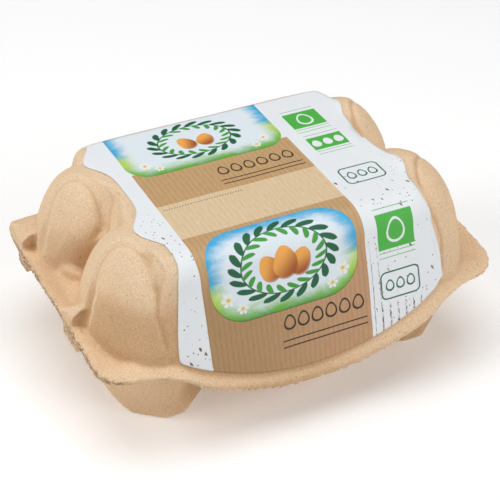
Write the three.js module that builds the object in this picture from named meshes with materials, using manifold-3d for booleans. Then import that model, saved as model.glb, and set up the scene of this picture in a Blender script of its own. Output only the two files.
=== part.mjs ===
// A shut egg carton for two rows of three eggs, in moulded pulp, with a paper label over its lid.
//
// Millimetres, +Z up, X along the carton, the side that opens towards -Y. The shapes are worked out round
// the line between the two rows of eggs; the group at the end shifts them, so that the origin is the middle
// of the footprint, on the floor.

import * as THREE from 'three';
import { mergeVertices } from 'three/addons/utils/BufferGeometryUtils.js';
import Module from 'manifold-3d';

const wasm = await Module();
wasm.setup();

// ----------------------------------------------------------------------------------------------------
// Driving dimensions

const endReach = 77; // middle of the carton to the outer edge of its brim, along X
const frontReach = 59.2; // row line to the front edge of the brim
const backReach = 48; // row line to the hinge
const rowPitch = 49; // between the middles of the two rows of eggs
const eggPitch = 48.5; // between the middles of two neighbouring eggs of a row
const pulp = 1.8; // thickness of the brims
const gap = 0.3; // between lid and tray, and between lid and label
const paper = 0.4; // thickness of the label

// heights above the floor
const lidTop = 69.2; // the flat of the lid, under the label
const foldStart = 60; // where the lid's front and back begin to round over into the flat
const brimHeight = 38.8; // top of the lid's brim at its outer edge, at the ends and the back

// the brim hangs down in front in one long curve
const middleDip = 20.8; // its middle, below brimHeight
const cornerDip = 4.8; // its corners, below brimHeight
const dipHalfLength = 53; // from the middle to the corners
const dipStart = -20; // y where the brim begins to fall

// a shallow channel runs round the foot of the lid, inside the brim's edge
const gutter = { depth: 2.4, width: 7 };

// the lid's corner domes, each over one egg; powers are those of a superellipse, where 2 is an ellipse
const dome = { x: 53.4, y: 22, halfLength: 18.9, halfWidth: 28.9, foot: 29.2, planPower: 1.85 };
const domeBackWall = 46.6; // the domes by the hinge are flat behind, from this y on
// side of the carton in X and Y, height, and power of the side view: pulp dries unevenly, so no two are alike
const domes = [
  [-1, -1, 40.4, 1.9],
  [-1, 1, 39.4, 1.9],
  [1, -1, 41.2, 2.4],
  [1, 1, 41.8, 1.9],
];

// the block between the domes
const front = { fold: -46, foldDepth: 10, slope: 0.325, hollow: 2.3, halfLength: 50 };
const back = { fold: 43, foldDepth: 5.5, slope: 0.12 };
const block = { foot: 55, fold: 53, top: 50.5, power: 13 };
const waist = { depth: 3.5, y: 2, halfWidth: 9 }; // the block is drawn in at each end, between its two domes

// the arches pressed into the domes: each is where the dome's skin meets a tilted plane
const archWidth = 2.6;
const archDepth = 0.8;
const cornerArch = { through: [57.7, 9.2, 59.3], normal: [0.59, 0.66, 0.46] };
const valleyArch = { through: [59.8, -4.9, 61.7], normal: [0.54, -0.74, 0.4] };

// locking steps on the brim at each end, as [y, height] of their side view
const backStep = [[28, 30], [28, 44.5], [36, 44], [43, 41.5], [48, 38.5], [48, 30]];
const midStep = [[-22, 30], [-22, 45.5], [-18, 44.5], [-9, 38], [-9, 30]];

// the tray's cups, one under each egg, wide at the seam and narrow at the foot
const cup = { reachX: 25, reachY: 22.5, footPower: 1.75, seamPower: 2.5 };
// height, and share of the reach that the cup has there
const cupWall = { 0: 0.53, 2: 0.59, 6: 0.67, 12: 0.77, 20: 0.88, 28: 0.96, 45: 1 };

// the tray's brim stays under the lid's: this much shorter at the ends and the hinge, and in front
const trayInset = [0.5, 2.8];

// lugs under the tray's brim, below each locking step: where they start and end along Y
const lugs = [[27, 36], [-24, -10]];
const [lugInner, lugOuter, lugFoot] = [72, 76, 28];

// ----------------------------------------------------------------------------------------------------
// Helpers

const TURN = 2 * Math.PI;
const SIDES = [-1, 1];
const clamp01 = (value) => Math.min(1, Math.max(0, value));
const mix = (a, b, t) => a + (b - a) * t;
const ease = (value) => clamp01(value) ** 2 * (3 - 2 * clamp01(value));
const roundOver = (up) => 1 - Math.sqrt(1 - clamp01(up) ** 2); // how far a quarter circle has come in
const joined = (solids) => solids.reduce((whole, solid) => whole.add(solid));
const withoutPockets = (solid) => joined(solid.decompose().filter((shell) => shell.volume() > 0));

// The point of a superellipse of half size 1 in the direction of an angle.
function superellipse(angle, power) {
  const [x, y] = [Math.cos(angle), Math.sin(angle)];
  const reach = (Math.abs(x) ** power + Math.abs(y) ** power) ** (-1 / power);
  return [x * reach, y * reach];
}

// Geometry to solid: its seams are closed, and the empty triangles at a lathe's poles dropped.
function solidOf(geometry) {
  const bare = geometry.clone();
  bare.deleteAttribute('normal');
  bare.deleteAttribute('uv');
  const merged = mergeVertices(bare, 1e-3);
  const index = merged.index.array;
  const kept = [];
  for (let i = 0; i < index.length; i += 3) {
    const [a, b, c] = [index[i], index[i + 1], index[i + 2]];
    if (a !== b && b !== c && c !== a) {
      kept.push(a, b, c);
    }
  }
  const vertProperties = Float32Array.from(merged.attributes.position.array);
  return new wasm.Manifold(new wasm.Mesh({ numProp: 3, vertProperties, triVerts: Uint32Array.from(kept) }));
}

// Solid to a named mesh with its own material.
function meshOf(name, solid, look) {
  const { vertProperties, triVerts } = solid.getMesh();
  const geometry = new THREE.BufferGeometry();
  geometry.setAttribute('position', new THREE.BufferAttribute(vertProperties, 3));
  geometry.setIndex(new THREE.BufferAttribute(triVerts, 1));
  geometry.computeVertexNormals();
  const mesh = new THREE.Mesh(geometry, new THREE.MeshStandardMaterial(look));
  mesh.name = name;
  return mesh;
}

// A closed body from level rings: a lathe's surface, with each ring's points put where ring(z, angle) says.
function loft(around, heights, ring) {
  const profile = [0, ...heights.keys(), 0].map((_, i, all) => {
    const pole = i === 0 || i === all.length - 1;
    const level = Math.min(heights.length - 1, Math.max(0, i - 1));
    return new THREE.Vector2(pole ? 0 : 1, heights[level]);
  });
  const geometry = new THREE.LatheGeometry(profile, around);
  const position = geometry.attributes.position;
  for (let i = 0; i < position.count; i++) {
    const { x: radius, y: z } = profile[i % profile.length];
    const angle = ((Math.floor(i / profile.length) % around) / around) * TURN;
    const [left, right] = [ring(z, TURN / 2), ring(z, 0)];
    const [x, y] = radius ? ring(z, angle) : [(left[0] + right[0]) / 2, left[1]];
    position.setXYZ(i, x, y, z);
  }
  return solidOf(geometry);
}

// A body between two heights, each given over the plan.
function layer(top, bottom) {
  const geometry = new THREE.BoxGeometry(2 * endReach + 16, 2 * frontReach + 8, 2, 26, 20, 1);
  const position = geometry.attributes.position;
  for (let i = 0; i < position.count; i++) {
    const height = position.getZ(i) > 0 ? top : bottom;
    position.setZ(i, height(position.getX(i), position.getY(i)));
  }
  return solidOf(geometry);
}

const outlineOf = (points) => new THREE.Shape(points.map((point) => new THREE.Vector2(...point)));

// An upright body over an outline in X and Y.
function upright(outline, bottom, top) {
  const settings = { depth: top - bottom, bevelEnabled: false, curveSegments: 6 };
  return solidOf(new THREE.ExtrudeGeometry(outline, settings).translate(0, 0, bottom));
}

// A body over an outline in X and Z, through all of the carton from front to back.
function frontToBack(points) {
  const settings = { depth: 4 * frontReach, bevelEnabled: false };
  const geometry = new THREE.ExtrudeGeometry(outlineOf(points), settings);
  return solidOf(geometry.rotateX(TURN / 4).translate(0, 2 * frontReach, 0));
}

// A body over an outline in Y and Z, from one x to a larger one.
function endwise(points, from, to) {
  const geometry = new THREE.ExtrudeGeometry(outlineOf(points), { depth: to - from, bevelEnabled: false });
  return solidOf(geometry.rotateX(TURN / 4).rotateZ(TURN / 4).translate(from, 0, 0));
}

// ----------------------------------------------------------------------------------------------------
// The seam between lid and tray

// Top of the lid's brim, over the plan.
function brimTop(x, y) {
  const reach = clamp01((dipStart - y) / (dipStart + frontReach));
  const dip = cornerDip + (middleDip - cornerDip) * Math.max(0, 1 - (x / dipHalfLength) ** 2);
  const insideEnds = ease((endReach - 1 - Math.abs(x)) / gutter.width);
  const insideSides = ease((backReach - 1 - Math.abs(y)) / gutter.width);
  return brimHeight - dip * reach ** 2 - gutter.depth * insideEnds * insideSides;
}

const below = (drop) => (x, y) => brimTop(x, y) - drop;
const floor = () => -1; // just under the feet

// Outline of a brim: straight in front, drawn back to a round ear at each corner, straight at ends and hinge.
function brimOutline(inset, frontInset) {
  const [end, lip, hinge] = [endReach - inset, frontInset - frontReach, backReach - inset];
  const outline = new THREE.Shape();
  outline.moveTo(-45, lip);
  outline.lineTo(45, lip);
  outline.bezierCurveTo(54, lip, 55, lip + 7.5, 63, lip + 8.6);
  outline.bezierCurveTo(71, lip + 9.2, end, lip + 12, end, lip + 19);
  outline.lineTo(end, hinge - 9);
  outline.bezierCurveTo(end, hinge - 3, end - 3, hinge, end - 9, hinge);
  outline.lineTo(9 - end, hinge);
  outline.bezierCurveTo(3 - end, hinge, -end, hinge - 3, -end, hinge - 9);
  outline.lineTo(-end, lip + 19);
  outline.bezierCurveTo(-end, lip + 12, -71, lip + 9.2, -63, lip + 8.6);
  outline.bezierCurveTo(-55, lip + 7.5, -54, lip, -45, lip);
  return outline;
}

// ----------------------------------------------------------------------------------------------------
// Lid

// Front face of the block at a height, as y: it leans out downwards, a little hollow low in the middle.
function frontFace(x, z) {
  const down = Math.max(0, foldStart - z);
  const hollow = front.hollow * Math.max(0, 1 - (x / front.halfLength) ** 2) * (down / 39) ** 2;
  const over = roundOver((z - foldStart) / (lidTop - foldStart));
  return front.fold - front.slope * down + hollow + front.foldDepth * over;
}

// Back face of the block at a height, as y.
function backFace(z) {
  const over = roundOver((z - foldStart) / (lidTop - foldStart));
  return back.fold + back.slope * Math.max(0, foldStart - z) - back.foldDepth * over;
}

// The block between the domes. `grow` makes it larger all over, for the label that lies on it.
function lidBlock(grow) {
  const foldSteps = 4;
  const foot = 12;
  const heights = [foot, 36];
  for (let step = 0; step <= foldSteps; step++) {
    heights.push(mix(foldStart, lidTop, Math.sin((step / foldSteps) * (TURN / 4))));
  }
  const solid = loft(56, heights, (z, angle) => {
    const over = roundOver((z - foldStart) / (lidTop - foldStart));
    const wall = mix(block.foot, block.fold, clamp01((z - foot) / (foldStart - foot)));
    const halfLength = wall - (block.fold - block.top) * over + grow;
    const [along, across] = superellipse(angle, block.power);
    const face = across < 0 ? -(frontFace(along * halfLength, z) - grow) : backFace(z) + grow;
    const drawnIn = waist.depth * Math.exp(-(((across * face - waist.y) / waist.halfWidth) ** 2));
    return [along * (halfLength - drawnIn), across * face];
  });
  return solid.translate([0, 0, grow]);
}

// A dome, as the table of domes gives it.
function lidDome([sideX, sideY, height, power], grow) {
  const steps = 7;
  const tall = height + grow;
  const heights = [];
  for (let step = 0; step <= steps; step++) {
    heights.push(dome.foot + tall * Math.sin((step / steps) * 0.97 * (TURN / 4)));
  }
  return loft(30, heights, (z, angle) => {
    const share = (1 - ((z - dome.foot) / tall) ** power) ** (1 / power);
    const [along, across] = superellipse(angle, dome.planPower);
    const x = sideX * dome.x + share * along * (dome.halfLength + grow);
    const y = sideY * dome.y + share * across * (dome.halfWidth + grow);
    return [x, Math.min(y, domeBackWall + grow)];
  });
}

// The groove of one arch, to cut from its dome.
function archGroove(where, arch) {
  const [sideX, sideY] = where;
  const plate = new THREE.BoxGeometry(90, 90, archWidth);
  const [x, y, z] = arch.through;
  const [normalX, normalY, normalZ] = arch.normal;
  const normal = new THREE.Vector3(sideX * normalX, sideY * normalY, normalZ).normalize();
  plate.applyQuaternion(new THREE.Quaternion().setFromUnitVectors(new THREE.Vector3(0, 0, 1), normal));
  plate.translate(sideX * x, sideY * (dome.y + y), z);
  const skin = lidDome(where, 2).subtract(lidDome(where, -archDepth));
  return skin.intersect(solidOf(plate));
}

// The ramp that fills the valley between the two domes of one end.
function valleyRamp(side, grow) {
  const steps = 5;
  const [topX, footX, inner, halfWidth] = [46 + grow, 65 + grow, 30, 17 + grow];
  const [topZ, footZ] = [lidTop - gap + grow, 37];
  const points = [[side * inner, topZ], [side * inner, footZ - 7], [side * footX, footZ - 7]];
  for (let step = 0; step <= steps; step++) {
    const up = step / steps;
    points.push([side * mix(footX, topX, up ** 0.8), mix(footZ, topZ, Math.sin(up * (TURN / 4)) ** 1.1)]);
  }
  const width = [[-halfWidth, 0], [halfWidth, 0], [halfWidth, 90], [-halfWidth, 90]];
  return frontToBack(points).intersect(endwise(width, -90, 90));
}

// The two locking steps on the brim at one end; they lose height towards the brim's edge.
function lockingSteps(side) {
  const crown = [[60, 30], [60, 46.5], [70, 46.5], [endReach, 41.5], [endReach, 30]];
  const limit = frontToBack(crown.map(([x, z]) => [side * x, z]));
  return joined([backStep, midStep].map((points) => endwise(points, -90, 90))).intersect(limit);
}

function lidSolid() {
  const brim = upright(brimOutline(0, 0), 0, lidTop);
  const ends = SIDES.flatMap((side) => [valleyRamp(side, 0), lockingSteps(side).intersect(brim)]);
  const archedDomes = domes.map((where) => {
    return lidDome(where, 0).subtract(archGroove(where, cornerArch)).subtract(archGroove(where, valleyArch));
  });
  const whole = joined([lidBlock(0), ...ends, ...archedDomes, brim.intersect(layer(brimTop, floor))]);
  return withoutPockets(whole.subtract(layer(below(pulp), floor)));
}

// ----------------------------------------------------------------------------------------------------
// Tray

function eggCup(x, y) {
  const heights = Object.keys(cupWall).map(Number);
  return loft(24, heights, (z, angle) => {
    const power = mix(cup.footPower, cup.seamPower, clamp01(z / brimHeight) ** 2);
    const [along, across] = superellipse(angle, power);
    return [x + along * cup.reachX * cupWall[z], y + across * cup.reachY * cupWall[z]];
  });
}

function traySolid() {
  const top = below(pulp + gap);
  const parts = [upright(brimOutline(...trayInset), 0, lidTop).subtract(layer(below(2 * pulp + gap), floor))];
  for (const x of [-eggPitch, 0, eggPitch]) {
    for (const y of [-rowPitch / 2, rowPitch / 2]) {
      parts.push(eggCup(x, y));
    }
  }
  for (const sideX of SIDES) {
    for (const [from, to] of lugs) {
      const [inner, outer] = [sideX * lugInner, sideX * lugOuter];
      const outline = outlineOf([[inner, from], [outer, from], [outer, to], [inner, to]]);
      parts.push(upright(outline, lugFoot, lidTop));
    }
  }
  return joined(parts).intersect(layer(top, floor));
}

// ----------------------------------------------------------------------------------------------------
// Label

// How far the label reaches towards one side on its way over the lid: it widens over the top of each dome.
function labelReach(side, y) {
  const base = side < 0 ? 45.2 : 48;
  const bulge = 51.3 - base;
  const wave = base + bulge * (Math.exp(-(((y - 26) / 8) ** 2)) + Math.exp(-(((y + 20) / 8) ** 2)));
  return mix(wave, mix(46.5, 51, ease((-40 - y) / 14)), ease((-26 - y) / 9));
}

// Lower edge of the label, in front.
const labelHem = (x) => 22.3 + 12.5 * (x / 48.75) ** 2;

function labelSolid() {
  const edges = { '-1': [], 1: [] };
  for (let y = 37.5; y > -frontReach; y -= 3.2) {
    for (const side of SIDES) {
      edges[side].push([side * labelReach(side, y), y]);
    }
  }
  const hem = [];
  for (let x = -52; x <= 52; x += 4) {
    hem.push([x, labelHem(x)]);
  }
  const skin = (grow) => {
    const ramps = SIDES.map((sideX) => valleyRamp(sideX, grow));
    return joined([lidBlock(grow), ...ramps, ...domes.map((where) => lidDome(where, grow))]);
  };
  const plan = upright(outlineOf([...edges[-1].reverse(), ...edges[1]]), 0, 90);
  const aboveHem = frontToBack([...hem, [60, 90], [-60, 90]]);
  // only the front wall carries the label below the fold
  const overTop = endwise([[-60, 0], [-45, 0], [-41, 63], [60, 63], [60, 90], [-60, 90]], -90, 90);
  return skin(gap + paper).subtract(skin(gap)).intersect(plan).intersect(aboveHem).intersect(overTop);
}

// ----------------------------------------------------------------------------------------------------
// The carton

const pulpTan = { color: 0xd9b48c, roughness: 0.95, metalness: 0 };
const printedPaper = { color: 0xe4e5e3, roughness: 0.7, metalness: 0 };

const carton = new THREE.Group();
carton.add(meshOf('lid', lidSolid(), pulpTan));
carton.add(meshOf('tray', traySolid(), pulpTan));
carton.add(meshOf('label', labelSolid(), printedPaper));
carton.position.y = (frontReach - backReach) / 2;

export default carton;
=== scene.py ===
# %% [markdown]
# # A shut egg carton
#
# Half a dozen eggs travel in a carton of moulded pulp: a tray with six cups, a lid with a dome over each
# corner egg, and a paper label glued over the lid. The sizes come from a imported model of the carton, which
# is loaded first. Everything here is modelled round it, in the same place and in metres.

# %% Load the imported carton
import math

import bmesh
import bpy
import numpy as np
from mathutils import Matrix, Vector, noise
from mathutils.bvhtree import BVHTree
from mathutils.geometry import interpolate_bezier


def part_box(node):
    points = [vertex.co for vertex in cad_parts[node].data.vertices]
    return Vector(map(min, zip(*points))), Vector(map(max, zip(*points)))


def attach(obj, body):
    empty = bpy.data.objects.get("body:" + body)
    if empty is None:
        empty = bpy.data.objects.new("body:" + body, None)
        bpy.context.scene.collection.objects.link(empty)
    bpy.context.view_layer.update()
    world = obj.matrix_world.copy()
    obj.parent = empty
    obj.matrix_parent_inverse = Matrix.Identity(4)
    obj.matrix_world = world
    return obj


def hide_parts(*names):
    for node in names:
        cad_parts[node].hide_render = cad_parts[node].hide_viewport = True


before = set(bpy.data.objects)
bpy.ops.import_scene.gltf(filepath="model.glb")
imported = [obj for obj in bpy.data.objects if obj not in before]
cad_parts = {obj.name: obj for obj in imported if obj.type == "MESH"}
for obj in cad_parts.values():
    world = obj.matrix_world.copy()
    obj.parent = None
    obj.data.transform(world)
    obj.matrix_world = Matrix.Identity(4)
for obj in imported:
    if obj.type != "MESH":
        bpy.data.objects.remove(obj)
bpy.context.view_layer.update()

# %% [markdown]
# ## Working in millimetres
#
# Pulp walls are a couple of millimetres thick, so the shapes are easier to read in millimetres. They are
# built round the line between the two rows of eggs, because the domes and cups stand alike on both sides
# of it. One matrix then brings each finished piece into the frame.

# %% Units and the row line
MM = 0.001
TURN = 2 * math.pi
FRONT_REACH = 59.2  # row line to the front edge of the brim
BACK_REACH = 48.0  # row line to the hinge
lid_low, lid_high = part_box("lid")
END_REACH = lid_high.x / MM
ROW_LINE = lid_low.y + FRONT_REACH * MM
TO_FRAME = Matrix.Translation((0, ROW_LINE, 0)) @ Matrix.Scale(MM, 4)
print("row line at y =", round(ROW_LINE, 4), "half length", round(END_REACH, 1), "mm")


def add_object(name, data):
    """An object in the scene."""
    made = bpy.data.objects.new(name, data)
    bpy.context.scene.collection.objects.link(made)
    return made


# %% [markdown]
# ## Camera, light and floor
#
# The camera looks down on the front left corner from a little more than half a metre, through a long lens,
# so the carton hardly tapers. Its three axes are worked out from the two angles and a small roll. The
# light is that of a white studio: broad lamps overhead, on the left and in front on the right, and a floor
# that glows a little, like a sweep of white acrylic.

# %% Camera
AZIMUTH, ELEVATION, ROLL = math.radians(-26.9), math.radians(35.94), math.radians(0.75)
DISTANCE, AIM_HEIGHT = 535.3, 34.1
SLIDE_RIGHT, SLIDE_UP = 1.59, -0.99
LENS = 104.72

away = Vector((math.sin(AZIMUTH) * math.cos(ELEVATION), -math.cos(AZIMUTH) * math.cos(ELEVATION),
               math.sin(ELEVATION)))
level = Vector((math.cos(AZIMUTH), math.sin(AZIMUTH), 0))
upward = away.cross(level)
right = level * math.cos(ROLL) + upward * math.sin(ROLL)
up = upward * math.cos(ROLL) - level * math.sin(ROLL)
eye = Vector((0, 0, AIM_HEIGHT)) + away * DISTANCE + right * SLIDE_RIGHT + up * SLIDE_UP

camera = add_object("camera", bpy.data.cameras.new("camera"))
camera.data.lens = LENS
camera.data.sensor_width = 36
turned = Matrix((right, up, away)).transposed().to_4x4()
camera.matrix_world = Matrix.Translation(TO_FRAME @ eye) @ turned
bpy.context.scene.camera = camera
print("camera at", [round(value, 3) for value in camera.location])


# %% Lamps, tent and floor
CARTON_MIDDLE = Vector((0, 0, 0.03))
LAMPS = {"overhead": ((0.0, 0.05, 1.1), 0.9, 7.6), "left side": ((-1.1, 0.2, 0.7), 0.8, 8.0),
         "front right": ((0.6, -0.9, 0.6), 0.8, 6.0)}  # place, size and watts of square lamps

for lamp_name, (lamp_place, lamp_size, watts) in LAMPS.items():
    lamp_data = bpy.data.lights.new(lamp_name, "AREA")
    lamp_data.size = lamp_size
    lamp_data.energy = watts
    lamp = add_object(lamp_name, lamp_data)
    lamp.location = lamp_place
    lamp.rotation_euler = (CARTON_MIDDLE - Vector(lamp_place)).to_track_quat("-Z", "Y").to_euler()

tent = bpy.data.worlds.new("white tent")
tent.use_nodes = True
tent.node_tree.nodes["Background"].inputs["Color"].default_value = (1, 1, 1, 1)
tent.node_tree.nodes["Background"].inputs["Strength"].default_value = 0.06
bpy.context.scene.world = tent
bpy.context.scene.view_settings.view_transform = "Standard"

floor_mesh = bmesh.new()
bmesh.ops.create_grid(floor_mesh, x_segments=1, y_segments=1, size=3)
floor_data = bpy.data.meshes.new("floor")
floor_mesh.to_mesh(floor_data)
floor = add_object("floor", floor_data)
paint = bpy.data.materials.new("floor white")
paint.use_nodes = True
paint_shader = paint.node_tree.nodes["Principled BSDF"]
paint_shader.inputs["Base Color"].default_value = (0.93, 0.93, 0.93, 1)
paint_shader.inputs["Roughness"].default_value = 0.9
paint_shader.inputs["Emission Color"].default_value = (1, 1, 1, 1)
paint_shader.inputs["Emission Strength"].default_value = 0.16
floor_data.materials.append(paint)
print("floor and", len(LAMPS), "lamps")


# %% [markdown]
# ## From a shell to a finished piece
#
# Moulded pulp has no sharp inner corner: the wet fibre fills every crease. It could be modelled as one
# mesh with rounded creases, but that is hard to keep tidy where six or seven forms meet. So each form is a
# simple closed shell of its own, the shells overlap, a voxel remesh fuses them, and smoothing rounds the
# creases, as the wet pulp does.

# %% Helpers for shells
def clamp01(value):
    return np.clip(value, 0, 1)


def ease(value):
    return clamp01(value) ** 2 * (3 - 2 * clamp01(value))


def mix(a, b, share):
    return a + (b - a) * share


def tube(around, levels, place):
    """A closed shell: a grid rolled up, with place(angle, share of the way up) for each of its points."""
    shell = bmesh.new()
    bmesh.ops.create_grid(shell, x_segments=around, y_segments=levels, size=0.5)
    for vert in shell.verts:
        vert.co = place((vert.co.x + 0.5) * TURN, vert.co.y + 0.5)
    bmesh.ops.remove_doubles(shell, verts=shell.verts, dist=1e-4)
    bmesh.ops.recalc_face_normals(shell, faces=shell.faces)
    return shell


def slab(columns, rows, place, bottom):
    """A closed plate: a grid with place(u, v) for its top, and its underside at bottom(x, y)."""
    shell = bmesh.new()
    bmesh.ops.create_grid(shell, x_segments=columns, y_segments=rows, size=1)
    for vert in shell.verts:
        vert.co = place(vert.co.x, vert.co.y)
    thick = bmesh.ops.extrude_face_region(shell, geom=shell.faces[:])
    for vert in (part for part in thick["geom"] if isinstance(part, bmesh.types.BMVert)):
        vert.co.z = bottom(vert.co.x, vert.co.y)
    bmesh.ops.recalc_face_normals(shell, faces=shell.faces)
    return shell


def bar(outline, start, end, cuts):
    """A closed bar along X over an outline in Y and Z, cut across so that it can be bent."""
    shell = bmesh.new()
    face = bmesh.ops.contextual_create(shell, geom=[shell.verts.new((start, y, z)) for y, z in outline])
    for _ in range(cuts):
        grown = bmesh.ops.extrude_face_region(shell, geom=face["faces"])
        moved = [part for part in grown["geom"] if isinstance(part, bmesh.types.BMVert)]
        bmesh.ops.translate(shell, verts=moved, vec=((end - start) / cuts, 0, 0))
        face = {"faces": [part for part in grown["geom"] if isinstance(part, bmesh.types.BMFace)]}
    bmesh.ops.recalc_face_normals(shell, faces=shell.faces)
    return shell


# %% Helpers for pieces
def fused(name, shells, voxel):
    """Overlapping shells to one object with an even mesh, by a voxel remesh."""
    whole = bmesh.new()
    for shell in shells:
        part = bpy.data.meshes.new("part")
        shell.to_mesh(part)
        whole.from_mesh(part)
        shell.free()
        bpy.data.meshes.remove(part)
    data = bpy.data.meshes.new(name)
    whole.to_mesh(data)
    whole.free()
    piece = add_object(name, data)
    remesh = piece.modifiers.new("fuse", "REMESH")
    remesh.mode = "VOXEL"
    remesh.voxel_size = voxel
    bpy.context.view_layer.update()
    even = bpy.data.meshes.new_from_object(piece.evaluated_get(bpy.context.evaluated_depsgraph_get()))
    piece.modifiers.clear()
    piece.data = even
    even.name = name
    print(name, "fused:", len(even.polygons), "faces")
    return piece


def corners(piece, what="co"):
    """The points of a piece as an array, to work on them all at once."""
    flat = np.empty(3 * len(piece.data.vertices), np.float32)
    piece.data.vertices.foreach_get(what, flat)
    return flat.reshape(-1, 3).astype(float)


def put_corners(piece, points):
    piece.data.vertices.foreach_set("co", points.astype(np.float32).ravel())
    piece.data.update()


def outward(piece):
    return corners(piece, "normal")


def soften(piece, rounds, keep):
    """Smooths a piece; a vertex where keep is 1 stays, and one where it is 0 moves freely."""
    edges = np.empty(2 * len(piece.data.edges), np.int32)
    piece.data.edges.foreach_get("vertices", edges)
    start, end = edges.reshape(-1, 2).T
    points = corners(piece)
    number = np.bincount(np.r_[start, end], minlength=len(points))[:, None]
    for _ in range(rounds):
        total = np.zeros_like(points)
        for axis in range(3):
            total[:, axis] = np.bincount(start, points[end, axis], len(points))
            total[:, axis] += np.bincount(end, points[start, axis], len(points))
        points += 0.5 * (1 - keep)[:, None] * (total / number - points)
    put_corners(piece, points)


def lumps(points, size, seed):
    """Smooth noise between about -1 and 1 at each point."""
    shift = Vector((seed * 17.3, seed * 5.1, seed * 9.7))
    return np.array([noise.noise(Vector(point) / size + shift) for point in points])


# %% [markdown]
# ## The seam
#
# Lid and tray meet at their brims. The seam is level at the ends and at the hinge, and in front it hangs
# down in one long curve, so that a thumb finds the lip of the lid. A formula for its height over the plan
# serves both pieces: the lid's brim lies on it and the tray's brim a hair below, so they always match.

# %% Height and outline of the brim
PULP = 1.8  # thickness of a brim
GAP = 0.3  # between lid and tray
LID_TOP = 69.2
FOLD_START = 60.0
BRIM_HEIGHT = 38.8
MIDDLE_DIP, CORNER_DIP, DIP_HALF_LENGTH, DIP_START = 20.1, 5.7, 50.0, -20.0
GUTTER_DEPTH, GUTTER_WIDTH = 2.4, 7.0


def brim_top(x, y):
    """Top of the lid's brim over the plan."""
    reach = clamp01((DIP_START - y) / (DIP_START + FRONT_REACH))
    dip = CORNER_DIP + (MIDDLE_DIP - CORNER_DIP) * np.maximum(0, 1 - (x / DIP_HALF_LENGTH) ** 2)
    inside_ends = ease((END_REACH - 1 - abs(x)) / GUTTER_WIDTH)
    inside_sides = ease((BACK_REACH - 1 - abs(y)) / GUTTER_WIDTH)
    return BRIM_HEIGHT - dip * reach ** 2 - GUTTER_DEPTH * inside_ends * inside_sides


def brim_outline(inset, front_inset):
    """Angle and reach of the brim's outline: straight in front, with a round ear at each front corner."""
    end, lip, hinge = END_REACH - inset, front_inset - FRONT_REACH, BACK_REACH - inset
    bends = [
        [(-9 + end, hinge), (end - 3, hinge), (end, hinge - 3), (end, hinge - 9)],
        [(end, lip + 17), (end, lip + 10), (71, lip + 7.0), (63, lip + 6.4)],
        [(63, lip + 6.4), (55, lip + 5.3), (50, lip + 0.6), (41, lip)],
    ]
    path = []
    for bend in bends:
        path += [point.to_tuple() for point in interpolate_bezier(*[Vector((*p, 0)) for p in bend], 16)]
    path += [(x, lip, 0) for x in np.linspace(36, 0, 9)]
    path = [(x, hinge, 0) for x in np.linspace(0, end - 12, 12)] + path
    path = np.array(path + [(-x, y, 0) for x, y, _ in reversed(path)])
    following = np.roll(path, -1, axis=0)
    x, y, _ = np.vstack([mix(path, following, share) for share in np.linspace(0, 1, 24, endpoint=False)]).T
    angle, reach = np.arctan2(y, x), np.hypot(x, y)
    order = np.argsort(angle)
    return angle[order], reach[order]


def brim_reach(outline, x, y):
    """How far the outline is from the middle, in the direction of a point."""
    angle, reach = outline
    return np.interp(np.arctan2(y, x), angle, reach, period=TURN)


def inside_edge(outline, x, y):
    """How far a point lies inside an outline."""
    return brim_reach(outline, x, y) - np.hypot(x, y)


LID_OUTLINE = brim_outline(0.0, 0.0)
TRAY_OUTLINE = brim_outline(0.5, 2.8)


def brim_plate(outline, top, bottom):
    """The brim as a plate: a square grid drawn out to the outline, between two heights over the plan."""
    def place(u, v):
        x, y = u * END_REACH, v * BACK_REACH
        square = max(abs(u), abs(v))
        if square > 0:
            stretch = brim_reach(outline, x, y) * square / math.hypot(x, y)
            x, y = x * stretch, y * stretch
        return x, y, top(x, y)
    return slab(110, 80, place, bottom)


print("brim heights, mm:", [round(float(brim_top(*place)), 1) for place in ((0, -59), (60, -50), (76, 0))])

# %% [markdown]
# ## The lid
#
# The lid is a block for the middle pair of eggs, with a dome over each corner egg, a ramp in the valley
# between two domes, and steps on the brim that lock it to the tray. The domes are half superellipsoids:
# an ellipsoid has the right character, and its power can be raised for a fuller one. Pulp dries unevenly,
# so each dome has a height and fullness of its own. The two at the back are drawn in beside the valley.

# %% Forms of the block
FRONT_FOLD, FOLD_DEPTH, FRONT_SLOPE, HOLLOW = -46.0, 10.0, 0.325, 2.3
BACK_FOLD, BACK_DEPTH, BACK_SLOPE = 43.0, 5.5, 0.12
HOLLOW_HALF_LENGTH, HOLLOW_DROP = 50.0, 39.0
BLOCK_FOOT, BLOCK_FOLD, BLOCK_TOP, BLOCK_POWER = 55.0, 53.0, 50.5, 13
BLOCK_START = 12.0  # the block begins inside the carton, at this height
FOOT_SHARE, WALL_SHARE, TOP_SHARE = 0.12, 0.7, 0.18  # of its grid
WAIST_DEPTH, WAIST_Y, WAIST_HALF = 3.5, 2.0, 9.0


def round_over(z):
    """How far a quarter circle has come in, from the fold's start to the lid's top."""
    risen = clamp01((z - FOLD_START) / (LID_TOP - FOLD_START))
    return 1 - np.sqrt(1 - risen ** 2)


def front_face(x, z):
    down = np.maximum(0, FOLD_START - z)
    hollow = HOLLOW * np.maximum(0, 1 - (x / HOLLOW_HALF_LENGTH) ** 2) * (down / HOLLOW_DROP) ** 2
    return FRONT_FOLD - FRONT_SLOPE * down + hollow + FOLD_DEPTH * round_over(z)


def back_face(z):
    return BACK_FOLD + BACK_SLOPE * np.maximum(0, FOLD_START - z) - BACK_DEPTH * round_over(z)


def superellipse(angle, power):
    x, y = math.cos(angle), math.sin(angle)
    reach = (abs(x) ** power + abs(y) ** power) ** (-1 / power)
    return x * reach, y * reach


def on_brim(x, y, z):
    """A point of the lid, kept from sinking through its brim."""
    return x, y, max(z, brim_top(x, y) - PULP / 2)


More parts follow.
